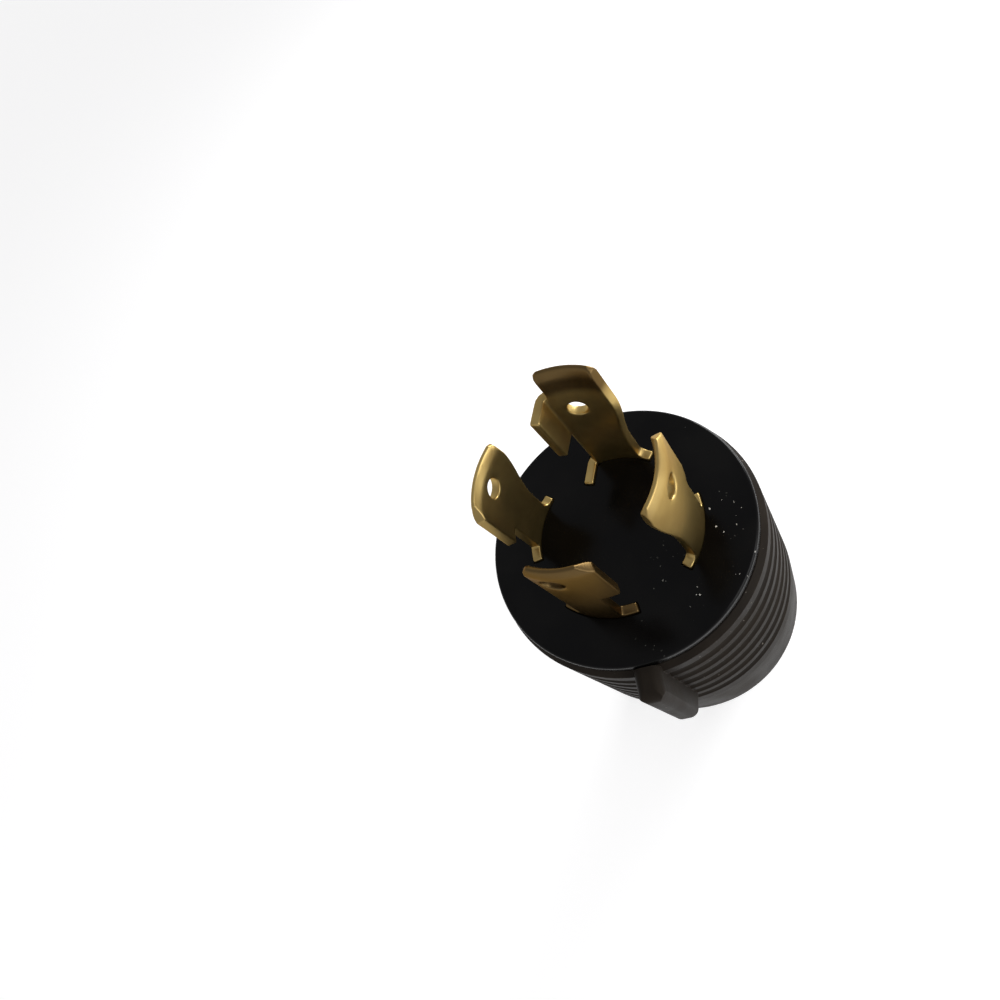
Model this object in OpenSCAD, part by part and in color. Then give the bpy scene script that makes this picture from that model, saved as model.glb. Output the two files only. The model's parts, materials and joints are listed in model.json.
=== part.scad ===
// Four-wire locking power plug with curved blades: a round dead front, a wiring
// block with four screw terminals, a ribbed housing and a two-jaw cord clamp.
// Millimetres. +Z runs along the plug's axis to the blade tips. The origin is the
// centre of the rear end, where the cord goes in.

/* [Body] */
// Length from the rear of the cord clamp to the dead front's face
body_l = 78; // [74:0.5:90]
// How far the dead front's edge lies inside the crests of the ribs
face_inset = 0.9; // [0.6:0.05:1.1]
// Wall of the housing
housing_wall = 2.5; // [1.8:0.1:2.6]
// How far the smooth rear part tapers in from the crests of the ribs
tail_inset = 0.7; // [0.4:0.1:1.5]
// Length of the smooth rear part, from the ribs to the dome
smooth_l = 12; // [6:0.5:14]
// Length of the rounded dome at the back of the housing
dome_l = 10; // [8:0.5:11]

/* [Grip ribs] */
// Number of grooves round the housing
groove_count = 6; // [3:1:7]
// Distance from one groove to the next
groove_pitch = 4.4; // [3.6:0.1:4.8]
// Depth of a groove
groove_depth = 0.5; // [0.2:0.05:0.8]
// Radius of the round bottom of a groove
groove_r = 2.2; // [1.8:0.1:3]
// Distance from the housing's front edge to the first groove
groove_start = 4.8; // [4:0.1:6]

/* [Lug] */
// Direction of the lug round the body, in degrees from +X
lug_angle = -69.5; // [-76:0.5:-60]
// Width of the lug
lug_w = 4.6; // [3.6:0.1:6]
// Height of the lug above the crests of the ribs
lug_rise = 4.9; // [3.1:0.1:6.6]
// Length of the lug along the body
lug_l = 27; // [20:0.5:32]
// Distance from the face back to the front of the lug
lug_setback = 0.8; // [0.4:0.1:1.6]
// Radius of the lug's long top edges and of its front corners
lug_edge_r = 1.6; // [0.6:0.1:2]
// Length of the ramp at the back of the lug
lug_ramp_l = 5; // [3:0.5:8]
// Depth that the back end of the ramp sinks into the housing
lug_sink = 0.5; // [0.3:0.1:1]
// Radius between the front and the top of the lug
lug_nose_r = 2; // [0.8:0.1:3]

/* [Dead front] */
// Thickness of the flange that shows in front of the housing
flange_t = 2.8; // [2.2:0.1:3.6]
// Length of the spigot that goes into the housing
spigot_l = 5; // [4:0.25:7]
// Chamfer that leads the spigot into the housing
lead_in = 0.5; // [0.3:0.1:0.8]
// Chamfer on each side of the joint between the flange and the housing
joint_chamfer = 1; // [0.5:0.1:1.2]
// Radius of the flange's front edge
flange_edge_r = 0.6; // [0.3:0.1:1]

/* [Blades] */
// Outer radius of the circle that the curved blades stand on
blade_outer_r = 16.7; // [16:0.1:17.2]
// Thickness of the blade strip
blade_t = 1.8; // [1.5:0.05:2.2]
// Length of the three power blades beyond the face
blade_l = 24.4; // [22:0.2:27]
// Length of the ground blade beyond the face
ground_l = 30.6; // [28.5:0.2:33]
// Clockwise edge of a blade's head and foot, in degrees from its middle
blade_cw = 24; // [22:0.5:26]
// Anticlockwise edge of a power blade's foot, in degrees
foot_ccw = 26; // [24:0.5:28]
// Anticlockwise edge of a power blade's head, in degrees
head_ccw = 28; // [27:0.5:31]
// Anticlockwise edge of a power blade's neck, in degrees
neck_ccw = 15.5; // [12:0.5:20]
// Clockwise edge of the ground blade's head and foot, in degrees
ground_cw = 20; // [18:0.5:22]
// Distance from the ground blade's middle plane to the outer face of its bent leg
leg_side = 7.3; // [7:0.1:7.6]
// Anticlockwise edge of the ground blade between its foot and leg, in degrees
ground_neck_ccw = 23; // [21:0.5:24]
// Direction of the hole in the ground blade, in degrees from its middle
ground_hole_at = 6; // [2:0.5:8]
// Anticlockwise edge of the ground blade's head above the leg, in degrees
ground_head_ccw = 19; // [17.5:0.5:19.5]
// Clockwise edge of the narrower neutral blade above its foot, in degrees
neutral_cw = 12; // [10:0.5:20]
// Inner radius of the bend between the ground blade and its leg
bend_inner_r = 0.5; // [0.3:0.1:1]
// Length of the ground blade's leg inwards from the bend
leg_l = 4.3; // [3:0.1:4.8]
// Height of the top of the leg above the face
leg_top = 24.4; // [22:0.2:26]
// Height of the bottom of the leg above the face
leg_low = 12.4; // [11:0.2:14]
// Radius of the leg's upper corner
leg_corner_r = 0.8; // [0.6:0.1:2]
// Height of the top of the lock notch above the face
notch_top = 10.8; // [9:0.2:12.5]
// Height of the blade's foot above the face
foot_proud = 0.7; // [0.4:0.1:1.2]
// Bite of the curved relief in a blade's clockwise edge, in degrees
relief_bite = 8; // [4:0.5:10]
// Height at which the relief reaches its full bite
relief_low = 6.4; // [5:0.2:9]
// Height at which the relief runs out
relief_high = 21.5; // [19.5:0.2:22]
// Radius at the foot of the relief
relief_r = 1.3; // [0.8:0.1:1.8]
// Bevel along the inner and outer edges of a blade's tip
tip_bevel = 0.6; // [0.3:0.05:0.7]
// Length of the bevel down the blade
tip_bevel_l = 1.5; // [0.8:0.1:2.2]
// Chamfer across the anticlockwise corner of a power blade's tip
tip_corner = 2.2; // [1.2:0.1:2.6]
// Chamfer across the other corners of the blades' tips
tip_corner_small = 0.8; // [0.4:0.1:1.4]
// Height of the hole in a blade above the face
blade_hole_z = 19.4; // [18:0.2:20.5]
// Diameter of the hole in a blade
blade_hole_d = 3.8; // [3.2:0.2:5]
// Extra width of the shoulders that hold a blade in the wiring block, in degrees
shoulder_extra = 4; // [2.5:0.5:5]
// Thickness of those shoulders along the axis
shoulder_h = 3; // [2:0.25:4]

/* [Wiring block] */
// Length of the wiring block behind the dead front
block_l = 22; // [21:0.5:26]
// Thickness of the block's front disc, which holds the blades' shoulders
block_disc_t = 5.5; // [4.6:0.1:7]
// Width of a terminal pocket
pocket_w = 12.4; // [11.4:0.2:14]

/* [Terminals] */
// Width of the blade's tail
tail_w = 9; // [8:0.2:10]
// Distance from the front disc to the end of the tail
tail_l = 14; // [12.5:0.5:15]
// Distance from the front disc to the terminal screw's axis
terminal_drop = 8; // [7:0.25:8.5]
// Space for the wire between the tail and the clamp plate
wire_gap = 2.3; // [1.6:0.1:2.4]
// Thickness of a clamp plate
clamp_plate_t = 1.4; // [1:0.1:1.5]
// Side of a square clamp plate
clamp_plate_w = 9.4; // [8.6:0.2:10.4]
// Shank diameter of a terminal screw
terminal_screw_d = 4.1; // [3.4:0.1:4.6]
// Head diameter of a terminal screw
terminal_head_d = 7.6; // [6.6:0.2:8.4]
// Head height of a terminal screw
terminal_head_h = 2; // [1.4:0.1:2]
// Space between a terminal screw's head and the housing's bore
terminal_room = 1.5; // [1.3:0.1:3]
// Length of a terminal screw's shank behind the tail
terminal_reach = 4; // [2:0.5:6]

/* [Body screws] */
// Distance from the housing's bore to a body screw's axis
body_screw_inset = 3.7; // [3.5:0.1:4.1]
// Shank diameter of the body screws
body_screw_d = 3.9; // [3:0.1:4.1]
// Head diameter of the body screws
body_head_d = 6.8; // [6:0.2:7]
// Head height of the body screws
body_head_h = 2.4; // [1.8:0.1:3]
// Height of the long screws' seat above the housing's neck
long_seat_rise = 14; // [13:0.5:16]
// Depth of the short screws' seat in the back of the wiring block
short_seat_depth = 6; // [4:0.5:9]
// Face left in front of the screw holes in the dead front
face_skin = 2.4; // [1.6:0.1:3.5]
// Outer radius of the bosses in the housing
boss_r = 3.9; // [3.5:0.1:4.4]
// Wall round the deep counterbore of a long screw
cup_wall = 1.4; // [1:0.1:1.6]
// Floor in front of that counterbore
cup_floor = 2.2; // [1.6:0.1:3]
// Width of the driver slot in every screw head
driver_slot_w = 1; // [0.8:0.1:1.4]

/* [Cord clamp] */
// Radius of the bore that grips the cord
cord_r = 8.6; // [7.6:0.1:9]
// Wall of the half-round jaws
jaw_wall = 4; // [3.4:0.1:4.2]
// Length of the jaws behind the housing's neck
jaw_out = 14; // [13:0.5:18]
// Gap between the two jaws
jaw_gap = 1.6; // [0.8:0.1:3]
// Radial width of the flange that holds a jaw in the neck
jaw_lip = 1.9; // [1.4:0.1:2.2]
// Thickness of that flange
jaw_lip_t = 3; // [2:0.25:4]
// Thickness of the neck's rear lip
neck_lip_t = 2.4; // [2:0.1:3.5]
// Length of the neck, from its rear end to the dome
neck_l = 8; // [7:0.5:9]
// Wall of the neck
neck_wall = 2.3; // [1.8:0.1:2.5]
// Chamfer round the rear end of the neck
neck_chamfer = 1; // [0.5:0.1:1.4]
// Width of a jaw's ear
ear_w = 7.4; // [7:0.1:9]
// Height of a jaw's ear
ear_h = 9; // [8:0.5:11]
// Depth of a jaw's ear from the gap
ear_depth = 7; // [5.5:0.25:8]
// Radius of an ear's outer corner
ear_corner_r = 2; // [1:0.25:3]
// Depth of the grip grooves in a jaw
grip_depth = 0.7; // [0.4:0.1:1]
// Distance from one grip groove to the next
grip_pitch = 3.6; // [3:0.1:4]
// Number of grip grooves
grip_count = 3; // [2:1:3]
// Shank diameter of the clamp screws
clamp_screw_d = 3.5; // [3:0.1:3.8]
// Head diameter of the clamp screws
clamp_head_d = 6.4; // [5.6:0.2:6.8]
// Head height of the clamp screws
clamp_head_h = 2.2; // [1.6:0.1:3]
// Distance from a clamp screw's end to the far face of the ear
clamp_screw_back = 0.5; // [0:0.25:2]
// Inner radius of the cord seal
seal_r = 8.9; // [8.2:0.1:9.6]
// Length of the cord seal
seal_l = 5; // [3.5:0.25:6]

/* [Clearances] */
// Clearance round what slides into place by hand
fit = 0.15; // [0.1:0.01:0.25]
// Clearance between a screw and a thread
thread_fit = 0.05; // [0.02:0.01:0.1]
// Clearance between a screw and a plain hole
hole_fit = 0.25; // [0.15:0.05:0.4]
// Gap left along the axis behind a seat
seat_gap = 0.2; // [0.1:0.05:0.3]

/* [Hidden] */
$fn = 96;

black = "#232327";
soft_black = "#2e2e32";
brass = "#d9b56c";
steel = "#b9bcc0";
green = "#3f8f4f";

// Directions of the four blades, in degrees from +X
ground_at = 90;
neutral_at = -90;
line_x_at = 0;
line_y_at = 180;
power_at = [neutral_at, line_x_at, line_y_at];
blades_at = [ground_at, neutral_at, line_x_at, line_y_at];
// Directions of the body screws, between the blades
long_screws_at = [135, 315];
short_screws_at = [45, 225];
// Direction of the cord clamp's ears, clear of the long screws' driver
clamp_at = 45;

// Levels along the axis, from the face back
face_z = body_l;
seat_z = face_z - flange_t;
plate_z = seat_z - spigot_l;
disc_z = plate_z - block_disc_t;
block_z = plate_z - block_l;
// Levels from the cord clamp forward
neck_z = jaw_out;
lip_top_z = neck_z + neck_lip_t;
jaw_flange_z = lip_top_z + seat_gap;
seal_z = jaw_flange_z + jaw_lip_t;
dome_z = neck_z + neck_l;
tail_z = dome_z + dome_l;
grip_z = tail_z + smooth_l;
long_seat_z = neck_z + long_seat_rise;
short_seat_z = block_z + short_seat_depth;
screw_end_z = face_z - face_skin;

// Radii, from the blades' circle out to the housing, which has to clear the terminals
plate_in_r = blade_outer_r + wire_gap;
plate_out_r = plate_in_r + clamp_plate_t;
bore_r = plate_out_r + terminal_head_h + terminal_room;
housing_r = bore_r + housing_wall;
plug_r = bore_r - fit;
face_r = housing_r - face_inset;
tail_r = housing_r - tail_inset;
lug_top_r = housing_r + lug_rise;
body_screw_pitch_r = bore_r - body_screw_inset;
blade_inner_r = blade_outer_r - blade_t;
blade_mid_r = blade_outer_r - blade_t / 2;
pocket_floor_r = blade_inner_r - fit;
// Outer radius of the ground blade's bend, the centre of the bend, the direction in
// which it meets the strip, and that in which the strip's middle meets the leg's
bend_r = bend_inner_r + blade_t;
bend_y = leg_side - bend_r;
bend_x = sqrt(pow(blade_outer_r - bend_r, 2) - pow(bend_y, 2));
bend_at = atan(bend_y / bend_x);
leg_at = asin((leg_side - blade_t / 2) / blade_mid_r);
leg_end_x = bend_x - leg_l;
jaw_r = cord_r + jaw_wall;
jaw_flange_r = jaw_r + jaw_lip;
neck_bore_r = jaw_flange_r + fit;
neck_r = neck_bore_r + neck_wall;
terminal_z = disc_z - terminal_drop;
ear_x = jaw_r + ear_w / 2;
counterbore_r = body_head_d / 2 + hole_fit;
slot_slack = fit / blade_mid_r * 180 / PI;
// How far a cutter runs past the solid that it cuts
over = 1;
// How far a shank runs into the head that carries it
root = 1;
// How far round the cutters of a blade's edges reach, in degrees
edge_reach = 44;
// Corners of cutters and fillers stand this far off the faces that they meet, and
// those of the bend run this many degrees past its ends, so that their edges cross
// the faces instead of touching them
slip = 0.2;
bend_run = 15;
arc_steps = 10;
corner_steps = 6;

// Points of a quarter ellipse about c, from the angle a0 to a1
function arc(c, rx, ry, a0, a1, n = arc_steps) =
    [for (i = [0:n]) let (a = a0 + (a1 - a0) * i / n) c + [rx * cos(a), ry * sin(a)]];

// Smooth step from 0 to 1 as t goes from 0 to 1
function ease(t) = (1 - cos(180 * t)) / 2;

module ring_sector(r0, r1, a0, a1, z0, z1) {
    translate([0, 0, z0]) rotate([0, 0, a0]) rotate_extrude(angle = a1 - a0)
        translate([r0, 0]) square([r1 - r0, z1 - z0]);
}

module tube(r, z0, z1) {
    translate([0, 0, z0]) cylinder(r = r, h = z1 - z0);
}

// A straight round bar along +X, from x0 to x1 at the height z
module radial_bar(r, x0, x1, z) {
    translate([x0, 0, z]) rotate([0, 90, 0]) cylinder(r = r, h = x1 - x0);
}

// A drawn profile in the radial plane, as wide as w along the tangent
module radial_plate(w) {
    rotate([90, 0, 0]) linear_extrude(w, center = true) children();
}

// ---------------------------------------------------------------- blades

// Curved strip with a bevelled tip, from z0 to the tip
module strip(a0, a1, z0, tip) {
    rotate([0, 0, a0]) rotate_extrude(angle = a1 - a0) polygon([
        [blade_inner_r, z0],
        [blade_outer_r, z0],
        [blade_outer_r, tip - tip_bevel_l],
        [blade_outer_r - tip_bevel, tip],
        [blade_inner_r + tip_bevel, tip],
        [blade_inner_r, tip - tip_bevel_l]
    ]);
}

// Cutter that takes a corner of the size given off a blade's tip at the edge angle a
module corner_cut(a, tip, size) {
    side = (size + slip) * sqrt(2);
    rotate([0, 0, a]) translate([blade_mid_r, sign(a) * slip, tip]) rotate([45, 0, 0])
        cube([blade_t + 2 * over, side, side], center = true);
}

// Long curved relief in the clockwise edge, which flares back to the foot
module relief_cut(cw) {
    // the curve ends this far outside the blade's edge
    runout = 0.25;
    y_edge = blade_mid_r * sin(-relief_bite / 2) - runout;
    y_full = blade_mid_r * sin(relief_bite / 2);
    z_foot = face_z + foot_proud;
    z_low = face_z + relief_low;
    z_high = face_z + relief_high;
    outside = -blade_outer_r / 2;
    rotate([0, 0, relief_bite / 2 - cw])
        translate([blade_inner_r - over, 0, 0]) rotate([90, 0, 90])
            linear_extrude(blade_t + 2 * over) polygon(concat(
                [[outside, z_foot]],
                arc([y_full - relief_r, z_foot + relief_r], relief_r, relief_r, -90, 0,
                    corner_steps),
                [for (i = [0:arc_steps]) let (t = i / arc_steps)
                    [y_full + (y_edge - y_full) * ease(t), z_low + (z_high - z_low) * t]],
                [[outside, z_high]]
            ));
}

// What lies outside a blade's edges above its shoulders: the clockwise side,
// the anticlockwise side of the foot and that of the head
module edge_cuts(cw, foot, head, tip) {
    r0 = blade_inner_r - over;
    r1 = blade_outer_r + over;
    z_mid = face_z + notch_top / 2;
    ring_sector(r0, r1, -edge_reach, -cw, plate_z, tip + over);
    ring_sector(r0, r1, foot, edge_reach, plate_z, z_mid);
    ring_sector(r0, r1, head, edge_reach, z_mid, tip + over);
}

// Flat tail with its tapped hole, behind the shoulders
module tail() {
    difference() {
        translate([blade_inner_r, -tail_w / 2, disc_z - tail_l])
            cube([blade_t, tail_w, plate_z - shoulder_h / 2 - disc_z + tail_l]);
        radial_bar(terminal_screw_d / 2 + thread_fit, blade_inner_r - over, blade_outer_r + over,
            terminal_z);
    }
}

module blade_hole(a) {
    rotate([0, 0, a]) radial_bar(blade_hole_d / 2, blade_inner_r - over, blade_outer_r + over,
        face_z + blade_hole_z);
}

// Power blade with its clockwise edge at cw, relieved or straight above the foot
module power_blade(cw = blade_cw, relieved = true) {
    tip = face_z + blade_l;
    r0 = blade_inner_r - over;
    r1 = blade_outer_r + over;
    foot_z = face_z + foot_proud;
    color(brass) {
        difference() {
            strip(-blade_cw - shoulder_extra, head_ccw + shoulder_extra, plate_z - shoulder_h, tip);
            edge_cuts(blade_cw, foot_ccw, head_ccw, tip);
            ring_sector(r0, r1, neck_ccw, edge_reach, foot_z, face_z + notch_top);
            if (relieved) relief_cut(cw);
            else ring_sector(r0, r1, -edge_reach, -cw, foot_z, tip + over);
            corner_cut(-cw, tip, tip_corner_small);
            corner_cut(head_ccw, tip, tip_corner);
            blade_hole(0);
        }
        tail();
    }
}

// Points round the bend at the radius r, from the strip to the leg
function bend_edge(r) = let (c = [bend_x, bend_y], a0 = bend_at - bend_run, a1 = 90 + bend_run,
        off = r + slip)
    concat([c + off * [cos(a0), sin(a0)]],
        [for (i = [1:arc_steps - 1]) let (a = bend_at + (90 - bend_at) * i / arc_steps)
            c + r * [cos(a), sin(a)]],
        [c + off * [cos(a1), sin(a1)]]);

// The leg's plate from the height z0 to z1, with the upper corner of its free edge
// rounded, and the fill that rounds the inside of the bend
module leg(z0, z1) {
    middle = bend_inner_r + blade_t / 2;
    half_way = (bend_at + 90) / 2;
    inside_x = blade_mid_r * cos(leg_at);
    translate([0, leg_side + over, 0]) rotate([90, 0, 0]) linear_extrude(blade_t + over)
        polygon(concat(
            [[inside_x, z0], [leg_end_x, z0]],
            arc([leg_end_x + leg_corner_r, z1 - leg_corner_r], leg_corner_r, leg_corner_r, 180, 90),
            [[inside_x, z1]]
        ));
    translate([0, 0, z0]) linear_extrude(z1 - z0)
        polygon(concat(bend_edge(bend_inner_r),
            [[bend_x, bend_y] + middle * [cos(half_way), sin(half_way)]]));
}

// Cutter that takes away the leg and its bend from the height z0 to z1, back to the
// strip's edge in the direction a
module bend_gap(z0, z1, a) {
    edge = [cos(a), sin(a)];
    x0 = leg_end_x - over;
    translate([0, 0, z0]) linear_extrude(z1 - z0) polygon([
        [x0, leg_side + over],
        [x0, leg_side - blade_t - over],
        (blade_inner_r - 2 * over) * edge,
        (blade_outer_r + over) * edge,
        [blade_outer_r + over, leg_side + over]
    ]);
}

// What lies outside the bend and beyond the leg's plane
module bend_cut(z0, z1) {
    edge = bend_edge(bend_r);
    translate([0, 0, z0]) linear_extrude(z1 - z0)
        polygon(concat(edge, [[blade_outer_r + over, leg_side + over],
            [blade_outer_r + over, edge[0].y]]));
}

module ground_blade() {
    // The strip runs this many degrees past the leg's middle, and the leg this far above
    // its own top, before both are trimmed
    past = 4;
    trim = 0.3;
    tip = face_z + ground_l;
    leg_top_z = face_z + leg_top;
    shoulder_z = plate_z - shoulder_h;
    r0 = blade_inner_r - over;
    r1 = blade_outer_r + over;
    color(brass) {
        difference() {
            union() {
                strip(-ground_cw - shoulder_extra, leg_at + past, shoulder_z - over, tip);
                leg(shoulder_z - over, leg_top_z + trim);
            }
            // one plane under the strip and the leg
            tube(r1, shoulder_z - 2 * over, shoulder_z);
            translate([leg_end_x - over, leg_side, shoulder_z - 2 * over])
                cube([r1 - leg_end_x + over, 2 * over, tip - shoulder_z + 3 * over]);
            bend_cut(shoulder_z - 2 * over, leg_top_z + over);
            // lock notch, and what lies beside the head above the leg
            bend_gap(face_z + foot_proud, face_z + leg_low, ground_neck_ccw);
            bend_gap(leg_top_z, tip + over, ground_head_ccw);
            // clockwise side above the shoulder
            ring_sector(r0, r1, -edge_reach, -ground_cw, plate_z, tip + over);
            relief_cut(ground_cw);
            corner_cut(-ground_cw, tip, tip_corner_small);
            corner_cut(ground_head_ccw, tip, tip_corner_small);
            blade_hole(ground_hole_at);
        }
        tail();
    }
}

// ---------------------------------------------------------------- dead front

// Slot for one power blade's foot
module power_slot(z0, z1) {
    ring_sector(blade_inner_r - fit, blade_outer_r + fit,
        -blade_cw - slot_slack, foot_ccw + slot_slack, z0, z1);
}

// The same for a power blade's shoulders, which reach past its head
module shoulder_slot(z0, z1) {
    ring_sector(blade_inner_r - fit, blade_outer_r + fit,
        -blade_cw - shoulder_extra - slot_slack, head_ccw + shoulder_extra + slot_slack, z0, z1);
}

// Slot for the ground blade's foot and leg: the leg's slot runs square past the
// bend, and a round relief at the inner corner clears the inside of the bend
module ground_slot(extra, z0, z1) {
    corner_y = leg_side - blade_t;
    corner_x = sqrt(pow(blade_inner_r, 2) - pow(corner_y, 2));
    x0 = leg_end_x - fit;
    x1 = blade_outer_r * cos(bend_at) + 2 * fit;
    ring_sector(blade_inner_r - fit, blade_outer_r + fit,
        -ground_cw - extra - slot_slack, leg_at, z0, z1);
    translate([x0, corner_y - fit, z0]) cube([x1 - x0, blade_t + 2 * fit, z1 - z0]);
    translate([corner_x, corner_y, 0]) tube(bend_inner_r + fit, z0, z1);
}

module dead_front() {
    color(black) difference() {
        rotate_extrude() polygon(concat(
            [[0, plate_z], [plug_r - lead_in, plate_z], [plug_r, plate_z + lead_in],
             [plug_r, seat_z], [face_r - joint_chamfer, seat_z], [face_r, seat_z + joint_chamfer]],
            arc([face_r - flange_edge_r, face_z - flange_edge_r], flange_edge_r, flange_edge_r,
                0, 90, corner_steps),
            [[0, face_z]]
        ));
        for (a = power_at) rotate([0, 0, a]) power_slot(plate_z - over, face_z + over);
        rotate([0, 0, ground_at]) ground_slot(0, plate_z - over, face_z + over);
        for (a = concat(long_screws_at, short_screws_at)) rotate([0, 0, a])
            translate([body_screw_pitch_r, 0, 0])
                tube(body_screw_d / 2 + thread_fit, plate_z - over, screw_end_z + seat_gap);
    }
}

// ---------------------------------------------------------------- wiring block

module terminal_pocket() {
    translate([pocket_floor_r, -pocket_w / 2, block_z - over])
        cube([plug_r, pocket_w, disc_z - block_z + over]);
    translate([pocket_floor_r, -tail_w / 2 - fit, disc_z - over])
        cube([blade_t + 2 * fit, tail_w + 2 * fit, block_disc_t + 2 * over]);
    radial_bar(terminal_screw_d / 2 + hole_fit, blade_inner_r - terminal_reach - seat_gap,
        pocket_floor_r + over, terminal_z);
}

module wiring_block() {
    shoulder_floor_z = plate_z - shoulder_h - seat_gap / 2;
    color(black) difference() {
        tube(plug_r, block_z, plate_z);
        for (a = blades_at) rotate([0, 0, a]) terminal_pocket();
        for (a = power_at) rotate([0, 0, a]) shoulder_slot(shoulder_floor_z, plate_z + over);
        rotate([0, 0, ground_at]) ground_slot(shoulder_extra, shoulder_floor_z, plate_z + over);
        for (a = concat(long_screws_at, short_screws_at)) rotate([0, 0, a])
            translate([body_screw_pitch_r, 0, 0])
                tube(body_screw_d / 2 + hole_fit, block_z - over, plate_z + over);
        for (a = short_screws_at) rotate([0, 0, a]) translate([body_screw_pitch_r, 0, 0])
            tube(counterbore_r, block_z - over, short_seat_z);
    }
}

// ---------------------------------------------------------------- terminals

module clamp_plate() {
    color(steel) difference() {
        translate([plate_in_r, -clamp_plate_w / 2, terminal_z - clamp_plate_w / 2])
            cube([clamp_plate_t, clamp_plate_w, clamp_plate_w]);
        radial_bar(terminal_screw_d / 2 + fit, plate_in_r - over, plate_out_r + over, terminal_z);
    }
}

module terminal_screw(tint) {
    slot_deep = terminal_head_h / 2;
    head_r = terminal_head_d / 2;
    color(tint) difference() {
        union() {
            radial_bar(terminal_screw_d / 2, blade_inner_r - terminal_reach, plate_out_r + root,
                terminal_z);
            radial_bar(head_r, plate_out_r, plate_out_r + terminal_head_h, terminal_z);
        }
        translate([plate_out_r + terminal_head_h - slot_deep, -driver_slot_w / 2,
            terminal_z - head_r - over])
            cube([slot_deep + over, driver_slot_w, terminal_head_d + 2 * over]);
    }
}

// ---------------------------------------------------------------- housing

module housing_outside() {
    rotate_extrude() polygon(concat(
        [[0, neck_z], [neck_r - neck_chamfer, neck_z], [neck_r, neck_z + neck_chamfer]],
        arc([neck_r, tail_z], tail_r - neck_r, dome_l, -90, 0),
        [[housing_r, grip_z], [housing_r, seat_z - joint_chamfer],
         [housing_r - joint_chamfer, seat_z], [0, seat_z]]
    ));
}

module housing_cavity() {
    rotate_extrude() polygon(concat(
        [[0, neck_z - over], [jaw_r + fit, neck_z - over], [jaw_r + fit, lip_top_z],
         [neck_bore_r, lip_top_z]],
        arc([neck_bore_r, tail_z], bore_r - neck_bore_r, dome_l - housing_wall, -90, 0),
        [[bore_r, seat_z + over], [0, seat_z + over]]
    ));
}

// Bosses that carry the long screws from the dome to the wiring block
module bosses() {
    for (a = long_screws_at) rotate([0, 0, a]) translate([body_screw_pitch_r, 0, 0]) {
        tube(boss_r, long_seat_z, block_z - seat_gap);
        tube(counterbore_r + cup_wall, dome_z, long_seat_z + cup_floor);
    }
}

// Profile of the lug seen from the side. It grows out of the housing's wall, stands
// clear of the dead front's rim and ends in a ramp at the back.
module lug_side() {
    front_z = face_z - lug_setback;
    back_z = front_z - lug_l;
    wall_r = housing_r - housing_wall / 2;
    rim_z = seat_z - 2 * joint_chamfer;
    polygon(concat(
        [[housing_r - lug_sink, back_z], [wall_r, back_z + lug_ramp_l], [wall_r, rim_z],
         [face_r + fit, rim_z], [face_r + fit, front_z]],
        arc([lug_top_r - lug_nose_r, front_z - lug_nose_r], lug_nose_r, lug_nose_r, 90, 0),
        [[lug_top_r, back_z + lug_ramp_l]]
    ));
}

// Outline with two round corners of radius r at its far end
module round_end(w, length, r) {
    square_w = w - 2 * r;
    translate([-w / 2, 0]) square([w, length - r]);
    translate([-square_w / 2, 0]) square([square_w, length]);
    for (s = [-1, 1]) translate([s * square_w / 2, length - r]) circle(r);
}

module lug() {
    rotate([0, 0, lug_angle]) intersection() {
        radial_plate(lug_w + over) lug_side();
        // round long edges
        rotate([0, 0, -90]) linear_extrude(face_z) round_end(lug_w, lug_top_r, lug_edge_r);
        // round front corners
        rotate([90, 0, 90]) linear_extrude(lug_top_r + over)
            round_end(lug_w, face_z - lug_setback, lug_edge_r);
    }
}

module housing() {
    color(soft_black) difference() {
        union() {
            difference() {
                housing_outside();
                housing_cavity();
                for (i = [0:groove_count - 1])
                    translate([0, 0, seat_z - groove_start - i * groove_pitch]) rotate_extrude()
                        translate([housing_r - groove_depth + groove_r, 0])
                            circle(groove_r);
            }
            intersection() {
                housing_outside();
                bosses();
            }
            lug();
        }
        for (a = long_screws_at) rotate([0, 0, a]) translate([body_screw_pitch_r, 0, 0]) {
            tube(body_screw_d / 2 + hole_fit, neck_z, block_z + over);
            tube(counterbore_r, neck_z - over, long_seat_z);
        }
    }
}

// Slotted screws that point up, with their heads below the seat z
module body_screws(at, seat) {
    color(steel) for (a = at) rotate([0, 0, a]) translate([body_screw_pitch_r, 0, 0])
        difference() {
            union() {
                tube(body_screw_d / 2, seat - root, screw_end_z);
                tube(body_head_d / 2, seat - body_head_h, seat);
            }
            translate([-body_head_d / 2 - over, -driver_slot_w / 2, seat - body_head_h - over])
                cube([body_head_d + 2 * over, driver_slot_w, body_head_h / 2 + over]);
        }
}

// ---------------------------------------------------------------- cord clamp

module cord_seal() {
    color(soft_black) difference() {
        tube(neck_bore_r - thread_fit, seal_z, seal_z + seal_l);
        tube(seal_r, seal_z - over, seal_z + seal_l + over);
    }
}

// Ears on both sides of a jaw, with rounded outer corners
module ears() {
    for (s = [-1, 1]) scale([s, 1, 1]) translate([0, ear_depth, 0]) rotate([90, 0, 0])
        linear_extrude(ear_depth) {
            translate([cord_r + over, 0]) square([jaw_wall + ear_w - over - ear_corner_r, ear_h]);
            translate([cord_r + over, 0]) square([jaw_wall + ear_w - over, ear_h - ear_corner_r]);
            translate([jaw_r + ear_w - ear_corner_r, ear_h - ear_corner_r]) circle(ear_corner_r);
        }
}

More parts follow.
